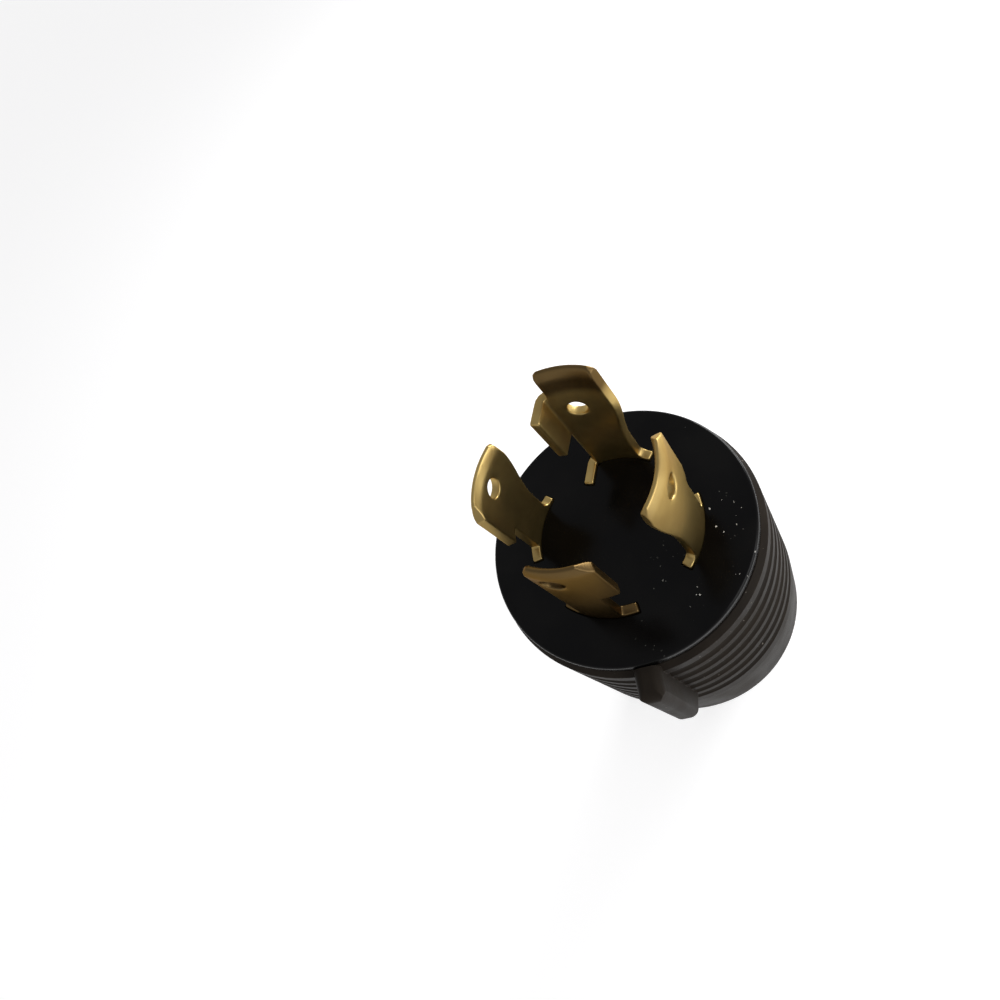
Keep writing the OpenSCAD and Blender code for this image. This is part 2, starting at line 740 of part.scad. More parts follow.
// The jaw on the +Y side, with ear holes of the diameter hole_d
module jaw(hole_d) {
    // middle groove half way along what stands out of the neck
    grip_z0 = jaw_out / 2 - (grip_count - 1) / 2 * grip_pitch;
    // side of the block that takes the other half away
    wide = 4 * jaw_r;
    color(black) difference() {
        union() {
            tube(jaw_r, 0, seal_z);
            tube(jaw_flange_r, jaw_flange_z, seal_z);
            ears();
        }
        tube(cord_r, -over, seal_z + over);
        for (i = [0:grip_count - 1]) translate([0, 0, grip_z0 + i * grip_pitch]) rotate_extrude()
            translate([cord_r, 0]) circle(grip_depth);
        // the other jaw's half and the gap
        translate([-wide / 2, jaw_gap / 2 - wide, -over]) cube([wide, wide, seal_z + 2 * over]);
        for (s = [-1, 1]) translate([s * ear_x, -over, ear_h / 2]) rotate([-90, 0, 0])
            cylinder(d = hole_d, h = ear_depth + 2 * over);
    }
}

module clamp_screws() {
    color(steel) for (s = [-1, 1]) translate([s * ear_x, 0, ear_h / 2]) rotate([-90, 0, 0])
        difference() {
            union() {
                translate([0, 0, -ear_depth - root])
                    cylinder(d = clamp_screw_d, h = 2 * ear_depth + root - clamp_screw_back);
                translate([0, 0, -ear_depth - clamp_head_h])
                    cylinder(d = clamp_head_d, h = clamp_head_h);
            }
            translate([-driver_slot_w / 2, -clamp_head_d, -ear_depth - clamp_head_h - over])
                cube([driver_slot_w, 2 * clamp_head_d, clamp_head_h / 2 + over]);
        }
}

dead_front();
wiring_block();
housing();
rotate([0, 0, ground_at]) ground_blade();  // blade_ground
rotate([0, 0, neutral_at]) power_blade(neutral_cw, false);  // blade_neutral
rotate([0, 0, line_x_at]) power_blade();  // blade_line_x
rotate([0, 0, line_y_at]) power_blade();  // blade_line_y
rotate([0, 0, ground_at]) clamp_plate();  // clamp_plate_ground
rotate([0, 0, neutral_at]) clamp_plate();  // clamp_plate_neutral
rotate([0, 0, line_x_at]) clamp_plate();  // clamp_plate_line_x
rotate([0, 0, line_y_at]) clamp_plate();  // clamp_plate_line_y
rotate([0, 0, ground_at]) terminal_screw(green);  // terminal_screw_ground
rotate([0, 0, neutral_at]) terminal_screw(steel);  // terminal_screw_neutral
for (a = [line_x_at, line_y_at]) rotate([0, 0, a]) terminal_screw(brass);  // terminal_screws_line
body_screws(long_screws_at, long_seat_z);  // long_body_screws
body_screws(short_screws_at, short_seat_z);  // short_body_screws
cord_seal();
rotate([0, 0, clamp_at + 180]) jaw(clamp_screw_d + 2 * hole_fit);  // cord_jaw_plain
rotate([0, 0, clamp_at]) jaw(clamp_screw_d + 2 * thread_fit);  // cord_jaw_threaded
rotate([0, 0, clamp_at]) clamp_screws();  // cord_clamp_screws
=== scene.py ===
"""Locking power plug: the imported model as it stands, with its finishes, the rounded
edges of the brass blades, the dust on its face, and a plain pale studio.

Metres. +Z runs along the plug's axis to the blade tips, +Y towards the ground blade.
"""
import json

import bmesh
import bpy
import numpy as np
from mathutils import Matrix, Vector
from mathutils.geometry import delaunay_2d_cdt


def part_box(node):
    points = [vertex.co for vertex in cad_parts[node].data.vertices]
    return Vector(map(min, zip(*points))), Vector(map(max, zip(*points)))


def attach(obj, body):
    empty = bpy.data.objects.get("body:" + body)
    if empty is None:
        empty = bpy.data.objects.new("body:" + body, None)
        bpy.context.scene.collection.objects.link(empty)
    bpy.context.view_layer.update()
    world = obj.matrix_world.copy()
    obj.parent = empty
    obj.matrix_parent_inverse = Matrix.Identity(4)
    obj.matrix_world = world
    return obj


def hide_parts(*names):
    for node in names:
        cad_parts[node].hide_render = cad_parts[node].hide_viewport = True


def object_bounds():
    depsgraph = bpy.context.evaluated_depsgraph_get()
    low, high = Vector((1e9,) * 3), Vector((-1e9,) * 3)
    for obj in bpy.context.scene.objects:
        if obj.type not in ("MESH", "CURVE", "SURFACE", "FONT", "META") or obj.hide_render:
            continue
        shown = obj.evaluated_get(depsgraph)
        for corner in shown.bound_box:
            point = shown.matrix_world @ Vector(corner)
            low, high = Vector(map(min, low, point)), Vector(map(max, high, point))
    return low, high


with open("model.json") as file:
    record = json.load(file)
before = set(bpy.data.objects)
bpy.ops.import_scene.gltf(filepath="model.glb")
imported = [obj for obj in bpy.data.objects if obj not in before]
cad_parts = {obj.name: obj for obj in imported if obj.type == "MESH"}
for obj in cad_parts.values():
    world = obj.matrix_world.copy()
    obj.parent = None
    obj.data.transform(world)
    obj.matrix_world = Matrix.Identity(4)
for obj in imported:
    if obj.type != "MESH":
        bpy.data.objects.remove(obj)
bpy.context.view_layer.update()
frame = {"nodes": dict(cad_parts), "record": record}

MM = 0.001

# ---------------------------------------------------------------- places from the frame

FACE_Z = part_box("dead_front")[1][2]

# Camera: its place from the centre of the face, its line of sight and the picture's up
# direction. It looks down on the face from the side.
CAMERA_FROM_FACE = Vector((46.22, -39.25, 106.75)) * MM
SIGHT = Vector((-0.53019, 0.33084, -0.78067))
PICTURE_UP = Vector((0.0, 0.92073, 0.39020))
SENSOR = 36.0
FOCAL = 23.4

# Where the ground blade's tip starts to turn darker brown and where it is fully so
BROWN_TIP = (FACE_Z + 23.8 * MM, FACE_Z + 26.2 * MM)

# The floor's own light where the camera or a reflection meets it, and its gap below
FLOOR_GLOW = 0.42
FLOOR_GAP = 0.2 * MM


# ---------------------------------------------------------------- node groups

def new_group(name, inputs, outputs):
    """A shader group with named sockets. Inputs are (name, type, value), where a value
    of None keeps the socket's own; outputs are (name, type)."""
    group = bpy.data.node_groups.new(name, "ShaderNodeTree")
    for label, kind, value in inputs:
        socket = group.interface.new_socket(label, in_out="INPUT", socket_type=kind)
        if value is not None:
            socket.default_value = value
    for label, kind in outputs:
        group.interface.new_socket(label, in_out="OUTPUT", socket_type=kind)
    return group, group.nodes.new("NodeGroupInput"), group.nodes.new("NodeGroupOutput")


def connect(tree, made, links):
    """Feeds a node's inputs from other nodes' outputs or with plain values."""
    for socket, source in links:
        if isinstance(source, bpy.types.NodeSocket):
            tree.links.new(source, made.inputs[socket])
        else:
            made.inputs[socket].default_value = source


def node(tree, kind, links=(), **settings):
    """A node with its settings. Each of the links is (its input, another node's output
    or a plain value)."""
    made = tree.nodes.new(kind)
    for key, value in settings.items():
        setattr(made, key, value)
    connect(tree, made, links)
    return made


def maths(tree, operation, a, b=0.0, clamp=False):
    """One sum on two values or sockets, kept within 0 to 1 if clamped."""
    return node(tree, "ShaderNodeMath", [(0, a), (1, b)], operation=operation,
                use_clamp=clamp).outputs[0]


def ramp(tree, value, low, high):
    """0 below low and 1 above high, smooth between them."""
    made = node(tree, "ShaderNodeMapRange", [("Value", value), ("From Min", low),
                ("From Max", high)], interpolation_type="SMOOTHSTEP")
    return made.outputs["Result"]


def mix_colour(tree, factor, a, b):
    """Colour a where the factor is 0, colour b where it is 1."""
    made = node(tree, "ShaderNodeMix", [(0, factor), (6, a), (7, b)], data_type="RGBA")
    return made.outputs[2]


def noise(tree, place, scale, detail=3.0, rough=0.55):
    """Cloudy noise from 0 to 1; its broadest clouds are 1 / scale metres wide."""
    made = node(tree, "ShaderNodeTexNoise", [("Vector", place), ("Scale", scale),
                ("Detail", detail), ("Roughness", rough)])
    return made.outputs["Fac"]


def make_grain():
    """Fine moulded or rolled grain: two noises added, as a height from 0 to 1."""
    group, come, go = new_group(
        "surface grain",
        [("Vector", "NodeSocketVector", None), ("Fine", "NodeSocketFloat", 2500.0),
         ("Broad", "NodeSocketFloat", 300.0), ("Share", "NodeSocketFloat", 0.3)],
        [("Height", "NodeSocketFloat")])
    fine = noise(group, come.outputs["Vector"], come.outputs["Fine"])
    broad = noise(group, come.outputs["Vector"], come.outputs["Broad"])
    share = come.outputs["Share"]
    kept = maths(group, "SUBTRACT", 1.0, share)
    height = maths(group, "ADD", maths(group, "MULTIPLY", fine, kept),
                   maths(group, "MULTIPLY", broad, share))
    group.links.new(height, go.inputs["Height"])
    return group


def make_edge_wear():
    """Mask of worn edges: where a rounded normal leaves the true one, broken by noise."""
    group, come, go = new_group(
        "edge wear",
        [("Vector", "NodeSocketVector", None), ("Radius", "NodeSocketFloat", 0.0004),
         ("Amount", "NodeSocketFloat", 0.7), ("Scale", "NodeSocketFloat", 600.0)],
        [("Mask", "NodeSocketFloat")])
    round_normal = node(group, "ShaderNodeBevel", [("Radius", come.outputs["Radius"])],
                        samples=6)
    true_normal = node(group, "ShaderNodeNewGeometry")
    dot = node(group, "ShaderNodeVectorMath", [(0, round_normal.outputs[0]),
               (1, true_normal.outputs["Normal"])], operation="DOT_PRODUCT")
    turned = maths(group, "SUBTRACT", 1.0, dot.outputs["Value"])
    edge = ramp(group, turned, 0.01, 0.18)
    broken = ramp(group, noise(group, come.outputs["Vector"], come.outputs["Scale"]), 0.3, 0.62)
    mask = maths(group, "MULTIPLY", maths(group, "MULTIPLY", edge, broken),
                 come.outputs["Amount"], clamp=True)
    group.links.new(mask, go.inputs["Mask"])
    return group


def make_specks():
    """Mask of dust: uneven dots in the cells of a Voronoi pattern bent by noise. A dot
    is kept where its cell's random value is under the share, and where a broad noise is
    high."""
    group, come, go = new_group(
        "dust specks",
        [("Vector", "NodeSocketVector", None), ("Scale", "NodeSocketFloat", 700.0),
         ("Share", "NodeSocketFloat", 0.05), ("Size", "NodeSocketFloat", 0.2),
         ("Gather", "NodeSocketFloat", 60.0)],
        [("Mask", "NodeSocketFloat")])
    bend = node(group, "ShaderNodeTexNoise", [("Vector", come.outputs["Vector"]),
                ("Scale", maths(group, "MULTIPLY", come.outputs["Scale"], 1.7))])
    shift = node(group, "ShaderNodeVectorMath",
                 [(0, bend.outputs["Color"]), (1, (0.0006,) * 3)], operation="MULTIPLY")
    bent = node(group, "ShaderNodeVectorMath",
                [(0, come.outputs["Vector"]), (1, shift.outputs[0])], operation="ADD")
    cells = node(group, "ShaderNodeTexVoronoi", [("Vector", bent.outputs[0]),
                 ("Scale", come.outputs["Scale"])], feature="F1")
    pick = node(group, "ShaderNodeSeparateColor", [("Color", cells.outputs["Color"])])
    kept = maths(group, "LESS_THAN", pick.outputs["Red"], come.outputs["Share"])
    size = maths(group, "MULTIPLY", come.outputs["Size"], pick.outputs["Green"])
    dot = maths(group, "LESS_THAN", cells.outputs["Distance"], size)
    cloud = noise(group, come.outputs["Vector"], come.outputs["Gather"])
    gather = ramp(group, cloud, 0.5, 0.62)
    mask = maths(group, "MULTIPLY", maths(group, "MULTIPLY", kept, dot), gather)
    group.links.new(mask, go.inputs["Mask"])
    return group


def make_soft_edges():
    """Normal of every sharp edge rounded over the radius, as tumbling or a mould does."""
    group, come, go = new_group("soft edges", [("Radius", "NodeSocketFloat", 0.0003)],
                                [("Normal", "NodeSocketVector")])
    rounded = node(group, "ShaderNodeBevel", [("Radius", come.outputs["Radius"])], samples=8)
    group.links.new(rounded.outputs["Normal"], go.inputs["Normal"])
    return group


GRAIN = make_grain()
EDGE_WEAR = make_edge_wear()
SPECKS = make_specks()
SOFT_EDGES = make_soft_edges()


# ---------------------------------------------------------------- materials

def new_material(name, metallic=0.0, ior=1.5):
    """A material with its Principled shader and the Object coordinates it reads."""
    made = bpy.data.materials.new(name)
    made.use_nodes = True
    tree = made.node_tree
    shader = tree.nodes["Principled BSDF"]
    shader.inputs["Metallic"].default_value = metallic
    shader.inputs["IOR"].default_value = ior
    place = node(tree, "ShaderNodeTexCoord").outputs["Object"]
    return made, tree, shader, place


def placed(tree, group, **values):
    """A shader group set in a material's tree, with its inputs' values or links."""
    made = node(tree, "ShaderNodeGroup", node_tree=group)
    connect(tree, made, values.items())
    return made


def roughen(tree, shader, height, strength, depth, edge=0.0002):
    """Relief from a height, laid over edges rounded to the radius given; a piece whose
    edges are round already has no radius."""
    bump = node(tree, "ShaderNodeBump", [("Height", height), ("Strength", strength),
                ("Distance", depth)])
    if edge:
        soft = placed(tree, SOFT_EDGES, Radius=edge)
        tree.links.new(soft.outputs["Normal"], bump.inputs["Normal"])
    tree.links.new(bump.outputs["Normal"], shader.inputs["Normal"])


def face_plastic():
    """Glossy near-black moulding, with dust towards +X and a faint broad haze."""
    made, tree, shader, place = new_material("glossy black moulding")
    shader.inputs["Specular IOR Level"].default_value = 0.11
    dust = placed(tree, SPECKS, Vector=place, Scale=1500.0, Share=0.30, Size=0.25, Gather=150.0)
    across = node(tree, "ShaderNodeSeparateXYZ", [("Vector", place)]).outputs["X"]
    specks = maths(tree, "MULTIPLY", dust.outputs["Mask"], ramp(tree, across, 0.006, 0.020))
    haze = ramp(tree, noise(tree, place, 90.0), 0.35, 0.75)
    base = mix_colour(tree, haze, (0.0012, 0.0012, 0.0014, 1), (0.0030, 0.0029, 0.0028, 1))
    colour = mix_colour(tree, specks, base, (0.62, 0.60, 0.55, 1))
    tree.links.new(colour, shader.inputs["Base Color"])
    gloss = maths(tree, "ADD", maths(tree, "MULTIPLY", haze, 0.10), 0.16)
    rough = maths(tree, "ADD", gloss, maths(tree, "MULTIPLY", specks, 0.5))
    tree.links.new(rough, shader.inputs["Roughness"])
    grain = placed(tree, GRAIN, Vector=place, Fine=3200.0, Broad=260.0, Share=0.6)
    roughen(tree, shader, grain.outputs["Height"], 0.12, 0.00005)
    return made


def grip_plastic():
    """Satin dark moulding with fine grain, scuffed edges and a little dust."""
    made, tree, shader, place = new_material("satin grip moulding")
    shader.inputs["Specular IOR Level"].default_value = 0.035
    wear = placed(tree, EDGE_WEAR, Vector=place, Radius=0.0004, Amount=0.45, Scale=900.0)
    dust = placed(tree, SPECKS, Vector=place, Scale=2000.0, Share=0.12, Size=0.26, Gather=90.0)
    tone = ramp(tree, noise(tree, place, 120.0), 0.3, 0.75)
    base = mix_colour(tree, tone, (0.0140, 0.0112, 0.0088, 1), (0.0205, 0.0163, 0.0125, 1))
    worn = mix_colour(tree, wear.outputs["Mask"], base, (0.060, 0.050, 0.040, 1))
    colour = mix_colour(tree, dust.outputs["Mask"], worn, (0.20, 0.18, 0.155, 1))
    tree.links.new(colour, shader.inputs["Base Color"])
    rough = maths(tree, "ADD", maths(tree, "MULTIPLY", tone, 0.12), 0.42)
    tree.links.new(rough, shader.inputs["Roughness"])
    grain = placed(tree, GRAIN, Vector=place, Fine=2600.0, Broad=420.0, Share=0.35)
    roughen(tree, shader, grain.outputs["Height"], 0.35, 0.00012)
    return made


def inner_plastic():
    """Plain dark moulding of the wiring block and the cord clamp's jaws."""
    made, tree, shader, place = new_material("plain black moulding")
    wear = placed(tree, EDGE_WEAR, Vector=place, Radius=0.0003, Amount=0.35, Scale=800.0)
    colour = mix_colour(tree, wear.outputs["Mask"], (0.012, 0.012, 0.013, 1),
                        (0.060, 0.058, 0.055, 1))
    tree.links.new(colour, shader.inputs["Base Color"])
    tone = ramp(tree, noise(tree, place, 160.0), 0.3, 0.7)
    tree.links.new(maths(tree, "ADD", maths(tree, "MULTIPLY", tone, 0.12), 0.42),
                   shader.inputs["Roughness"])
    grain = placed(tree, GRAIN, Vector=place, Fine=2400.0, Broad=380.0, Share=0.3)
    roughen(tree, shader, grain.outputs["Height"], 0.3, 0.0001)
    return made


def seal_rubber():
    """Soft matt rubber with a faint bloom."""
    made, tree, shader, place = new_material("soft black rubber")
    bloom = ramp(tree, noise(tree, place, 220.0), 0.4, 0.75)
    colour = mix_colour(tree, bloom, (0.012, 0.012, 0.012, 1), (0.035, 0.034, 0.033, 1))
    tree.links.new(colour, shader.inputs["Base Color"])
    tree.links.new(maths(tree, "ADD", maths(tree, "MULTIPLY", bloom, 0.15), 0.68),
                   shader.inputs["Roughness"])
    grain = placed(tree, GRAIN, Vector=place, Fine=1800.0, Broad=300.0, Share=0.5)
    roughen(tree, shader, grain.outputs["Height"], 0.4, 0.00012)
    return made


def rolled_brass():
    """Brass strip, tumbled smooth: broad tarnish, soft waves and bright edges. It is
    painted darker brown on the neutral blade's side, a painted shade in place of the dark
    reflection there, and is darker brown at the tip of the longer ground blade."""
    made, tree, shader, place = new_material("rolled brass", metallic=1.0)
    shader.inputs["Specular Tint"].default_value = (0.64, 0.52, 0.42, 1)
    wear = placed(tree, EDGE_WEAR, Vector=place, Radius=0.00035, Amount=0.9, Scale=500.0)
    where = node(tree, "ShaderNodeSeparateXYZ", [("Vector", place)]).outputs
    tarnish = ramp(tree, noise(tree, place, 110.0, 2.0), 0.36, 0.70)
    base = mix_colour(tree, tarnish, (0.50, 0.365, 0.138, 1), (0.36, 0.25, 0.092, 1))
    # Painted shade: towards -Y, on the neutral blade's side, the brass is painted darker brown
    # in place of the dark reflection it shows there. The ground blade's tip is darker brown as
    # well.
    side = ramp(tree, maths(tree, "SUBTRACT", 0.0, where["Y"]), 0.002, 0.013)
    tip = ramp(tree, where["Z"], *BROWN_TIP)
    painted_shade_and_dark_tip = maths(tree, "MULTIPLY", maths(tree, "MAXIMUM", side, tip), 0.92)
    base = mix_colour(tree, painted_shade_and_dark_tip, base, (0.092, 0.057, 0.024, 1))
    colour = mix_colour(tree, wear.outputs["Mask"], base, (0.70, 0.53, 0.24, 1))
    tree.links.new(colour, shader.inputs["Base Color"])
    mottle = maths(tree, "MULTIPLY", noise(tree, place, 900.0), 0.05)
    dulled = maths(tree, "ADD", maths(tree, "MULTIPLY", tarnish, 0.08), 0.31)
    rough = maths(tree, "ADD", mottle, dulled)
    tree.links.new(rough, shader.inputs["Roughness"])
    wave = placed(tree, GRAIN, Vector=place, Fine=700.0, Broad=180.0, Share=0.7)
    roughen(tree, shader, wave.outputs["Height"], 0.10, 0.00006, None)
    return made


def plated_metal(name, bright, dull):
    """Plated screw metal: fine grain, dulled in patches, with bright edges."""
    made, tree, shader, place = new_material(name, metallic=1.0)
    wear = placed(tree, EDGE_WEAR, Vector=place, Radius=0.0002, Amount=0.7, Scale=900.0)
    patch = ramp(tree, noise(tree, place, 400.0), 0.35, 0.7)
    base = mix_colour(tree, patch, (*bright, 1), (*dull, 1))
    edge = tuple(min(1.0, c * 1.25) for c in bright)
    tree.links.new(mix_colour(tree, wear.outputs["Mask"], base, (*edge, 1)),
                   shader.inputs["Base Color"])
    tree.links.new(maths(tree, "ADD", maths(tree, "MULTIPLY", patch, 0.18), 0.24),
                   shader.inputs["Roughness"])
    roughen(tree, shader, noise(tree, place, 3000.0), 0.2, 0.00004)
    return made


MOULDING = inner_plastic()
STEEL = plated_metal("plated steel", (0.56, 0.57, 0.58), (0.36, 0.365, 0.37))
FINISH = {
    "dead_front": face_plastic(),
    "housing": grip_plastic(),
    "wiring_block": MOULDING,
    "cord_jaws": MOULDING,
    "cord_seal": seal_rubber(),
    "blades": rolled_brass(),
    "clamp_plates": STEEL,
    "screws": STEEL,
    "ground_screw": plated_metal("green plated screw", (0.10, 0.34, 0.16), (0.06, 0.22, 0.10)),
    "line_screws": plated_metal("bright brass screw", (0.80, 0.62, 0.32), (0.58, 0.42, 0.19)),
}

for part in frame["record"]["subparts"]:
    for held in frame["nodes"][part["node"]].material_slots:
        held.material = FINISH[part["material_slot"]]


# ---------------------------------------------------------------- blades

# A blade is punched flat, rounded at its edges, rolled to the blades' circle and, on
# the ground blade, bent at its leg. Flat sizes are in millimetres: along is the length
# round the circle from the blade's middle, and up is the height above the face. The
# blank's sides are given by their angles round the circle, in degrees.
THICK = 1.8
OUTER_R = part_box("blade_line_x")[1][0] / MM
MID_R = OUTER_R - THICK / 2

# Rounding: radius of the tumbled edges, and reach at a square corner of the blank
EDGE = 0.28
CORNER = 0.54

# Tip: its height, the thinning of each face and its length, a cut corner, small corners
TIP = (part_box("blade_line_x")[1][2] - FACE_Z) / MM
GROUND_TIP = (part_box("blade_ground")[1][2] - FACE_Z) / MM
TIP_BEVEL, TIP_BEVEL_L = 0.6, 1.5
TIP_CUT, TIP_NIP = 2.2, 0.8

# Heights of the foot, the lock notch, the shoulder inside and the tail's end, with half
# the tail's width; and the height below which the strip goes flat over the length given
FOOT, NOTCH = 0.7, 10.8
SHOULDER_TOP, SHOULDER = -7.8, -10.8
TAIL, TAIL_HALF = -27.3, 4.5
FLAT_FROM, FLAT_L = SHOULDER + 1.5, 2.0

# Anticlockwise sides of a power blade, and its clockwise side
HEAD_CCW, NECK_CCW, FOOT_CCW, SHOULDER_CCW = 28, 15.5, 26, 32
SIDE_CW = -24
NEUTRAL_SIDE_CW = -12
GROUND_HEAD_CCW, GROUND_SIDE_CW = 19, -20
SHOULDER_STEP = 4    # how far a shoulder stands out past the clockwise side

# Relief at the clockwise side: how far in it goes, its height, and the foot's rounding
RELIEF_TURN, RELIEF_MORE = 4.0, 0.25
RELIEF_LOW, RELIEF_RISE, RELIEF_PART = 6.4, 15.1, 0.93
FOOT_ROUND = 1.3

# Holes as (along, up, radius)
HOLE_UP, HOLE_R, GROUND_HOLE_AT = 19.4, 1.9, 6
TERMINAL_HOLE = (0.0, -21.3, 2.1)

# The ground blade's bend: its middle radius, its centre and where it meets the strip;
# and the leg that leaves it, with the leg's length and heights
BEND_MID = 1.4
LEG_SIDE = 7.3
BEND_Y = LEG_SIDE - THICK / 2 - BEND_MID
BEND_X = np.sqrt((MID_R - BEND_MID) ** 2 - BEND_Y ** 2)
BEND_AT = np.degrees(np.arctan2(BEND_Y, BEND_X))
BEND_START = MID_R * np.radians(BEND_AT)
BEND_END = BEND_START + BEND_MID * np.radians(90.0 - BEND_AT)
LEG_END = BEND_END + 4.3
LEG_LOW, LEG_TOP = 12.4, 24.4
LEG_NECK = BEND_START + 0.77


def along(angle):
    """Length round the blades' circle for an angle in degrees."""
    return MID_R * np.radians(angle)


def relief(edge):
    """Clockwise edge from its top down to the foot: a cosine step from the edge into the
    blade, a straight run and a quarter circle that ends on the foot."""
    bite = MID_R * np.sin(np.radians(RELIEF_TURN))
    deepest = along(edge + RELIEF_TURN) + bite
    t = np.linspace(RELIEF_PART, 0.0, 14)
    step = np.stack([deepest - (2 * bite + RELIEF_MORE) * (1 - np.cos(np.pi * t)) / 2,
                     RELIEF_LOW + RELIEF_RISE * t], axis=1)
    turn = np.radians(np.linspace(0.0, -90.0, 7))
    foot = np.stack([deepest - FOOT_ROUND + FOOT_ROUND * np.cos(turn),
                     FOOT + FOOT_ROUND + FOOT_ROUND * np.sin(turn)], axis=1)
    return np.vstack([step, foot])


def tail_and_foot(side):
    """The clockwise end of a blank, from the foot by the shoulder back to the tail."""
    out = along(side - SHOULDER_STEP)
    return [(along(side), FOOT), (along(side), SHOULDER_TOP), (out, SHOULDER_TOP),
            (out, SHOULDER), (-TAIL_HALF, SHOULDER)]


def power_blank(side=SIDE_CW, relieved=True):
    """Corners of a power blade's flat blank, anticlockwise from the end of its tail."""
    head, neck, foot = along(HEAD_CCW), along(NECK_CCW), along(FOOT_CCW)
    start = [(-TAIL_HALF, TAIL), (TAIL_HALF, TAIL), (TAIL_HALF, SHOULDER),
             (along(SHOULDER_CCW), SHOULDER), (along(SHOULDER_CCW), SHOULDER_TOP),
             (foot, SHOULDER_TOP), (foot, FOOT), (neck, FOOT), (neck, NOTCH), (head, NOTCH),
             (head, TIP - TIP_CUT), (head - TIP_CUT, TIP),
             (along(side) + TIP_NIP, TIP), (along(side), TIP - TIP_NIP)]
    inside = relief(side) if relieved else [(along(side), FOOT)]
    return np.vstack([start, inside, tail_and_foot(SIDE_CW)])


def ground_blank():
    """The same for the ground blade, whose leg carries on past the bend."""
    head, side = along(GROUND_HEAD_CCW), along(GROUND_SIDE_CW)
    start = [(-TAIL_HALF, TAIL), (TAIL_HALF, TAIL), (TAIL_HALF, SHOULDER),
             (LEG_END, SHOULDER), (LEG_END, FOOT), (LEG_NECK, FOOT), (LEG_NECK, LEG_LOW),
             (LEG_END, LEG_LOW), (LEG_END, LEG_TOP), (head, LEG_TOP),
             (head, GROUND_TIP - TIP_NIP), (head - TIP_NIP, GROUND_TIP),
             (side + TIP_NIP, GROUND_TIP), (side, GROUND_TIP - TIP_NIP)]
    return np.vstack([start, relief(GROUND_SIDE_CW), tail_and_foot(GROUND_SIDE_CW)])


def soft_corners(corners):
    """Outline with a parabola in place of each corner: it leaves both sides at
    CORNER * tan(turn / 2) from the corner, or at 0.45 of the shorter side."""
    back, ahead = np.roll(corners, 1, 0) - corners, np.roll(corners, -1, 0) - corners
    long_back = np.linalg.norm(back, axis=1, keepdims=True)
    long_ahead = np.linalg.norm(ahead, axis=1, keepdims=True)
    back, ahead = back / long_back, ahead / long_ahead
    turn = np.pi - np.arccos(np.clip((back * ahead).sum(1, keepdims=True), -1, 1))
    reach = np.minimum(CORNER * np.tan(turn / 2), 0.45 * np.minimum(long_back, long_ahead))
    t = np.linspace(0, 1, 6)[None, :, None]
    start, middle, end = (p[:, None, :] for p in
                          (corners + back * reach, corners, corners + ahead * reach))
    return ((1 - t) ** 2 * start + 2 * t * (1 - t) * middle + t ** 2 * end).reshape(-1, 2)


def even(outline, step=0.6):
    """The closed outline again, with points no further apart than the step."""
    closed = np.vstack([outline, outline[:1]])
    far = np.concatenate([[True], np.linalg.norm(np.diff(closed, axis=0), axis=1) > 0.02])
    closed = closed[far]
    length = np.concatenate([[0], np.cumsum(np.linalg.norm(np.diff(closed, axis=0), axis=1))])
    more = np.arange(0, length[-1], step)
    near = np.abs(more[:, None] - length[None, :]).min(1)
    at = np.sort(np.concatenate([length[:-1], more[near > 0.4 * step]]))
    return np.stack([np.interp(at, length, closed[:, i]) for i in (0, 1)], axis=1)


def into(outline):
    """Unit vectors from the points of an anticlockwise outline into its inside."""
    side = np.roll(outline, -1, 0) - outline
    side /= np.linalg.norm(side, axis=1, keepdims=True)
    side += np.roll(side, 1, 0)
    side /= np.linalg.norm(side, axis=1, keepdims=True)
    return np.stack([-side[:, 1], side[:, 0]], axis=1)


def encloses(outline, points):
    """True where a point is inside the outline, by counting the sides to its right."""
    a, b = outline[None], np.roll(outline, -1, 0)[None]
    q = points[:, None]
    spans = (a[..., 1] > q[..., 1]) != (b[..., 1] > q[..., 1])
    rise = np.where(b[..., 1] == a[..., 1], 1.0, b[..., 1] - a[..., 1])
    cross = a[..., 0] + (q[..., 1] - a[..., 1]) / rise * (b[..., 0] - a[..., 0])
    return (spans & (q[..., 0] < cross)).sum(1) % 2 == 1


def rolled(flat, out, bent):
    """Where a point of the flat blank ends up when it is out from the middle of the
    strip: round the circle, round the bend, or straight in the tail and the leg."""
    s, up = flat[..., 0], flat[..., 1]
    turn = s / MID_R
    x, y = (MID_R + out) * np.cos(turn), (MID_R + out) * np.sin(turn)
    if bent:
        swing = np.radians(BEND_AT) + (s - BEND_START) / BEND_MID
        bend = (s > BEND_START) & (s <= BEND_END)
        x = np.where(bend, BEND_X + (BEND_MID + out) * np.cos(swing), x)
        y = np.where(bend, BEND_Y + (BEND_MID + out) * np.sin(swing), y)
        leg = s > BEND_END
        x = np.where(leg, BEND_X - (s - BEND_END), x)
        y = np.where(leg, BEND_Y + BEND_MID + out, y)
    flatter = np.clip((FLAT_FROM - up) / FLAT_L, 0, 1)
    x, y = x + flatter * (MID_R + out - x), y + flatter * (s - y)
    return np.stack([x, y, up], axis=-1)


def strip_half(up, tip):
    """Half of the strip's thickness at a height: full, then thinner towards the tip."""
    return THICK / 2 - TIP_BEVEL * np.clip((up - (tip - TIP_BEVEL_L)) / TIP_BEVEL_L, 0, 1)


def rim(path, inner, tip):
    """A half-round edge carried round an outline. At the angle a from the inside face to
    the middle, a point lies EDGE * (1 - sin a) in from the outline and EDGE * (1 - cos a)
    below the face, and then the same back to the outside face. The depth takes 0.8 of the
    half thickness instead of EDGE where that is less. Returns the flat places and the
    distances out from the strip's middle, one row for each point of the path."""
    arc = np.radians(np.linspace(0, 90, 5))
    both = np.concatenate([arc, arc[::-1]])
    side = np.repeat([-1.0, 1.0], len(arc))
    flat = path[:, None, :] + inner[:, None, :] * (EDGE * (1 - np.sin(both)))[None, :, None]
    half = strip_half(flat[..., 1], tip)
    return flat, side * (half - np.minimum(EDGE, 0.8 * half) * (1 - np.cos(both)))


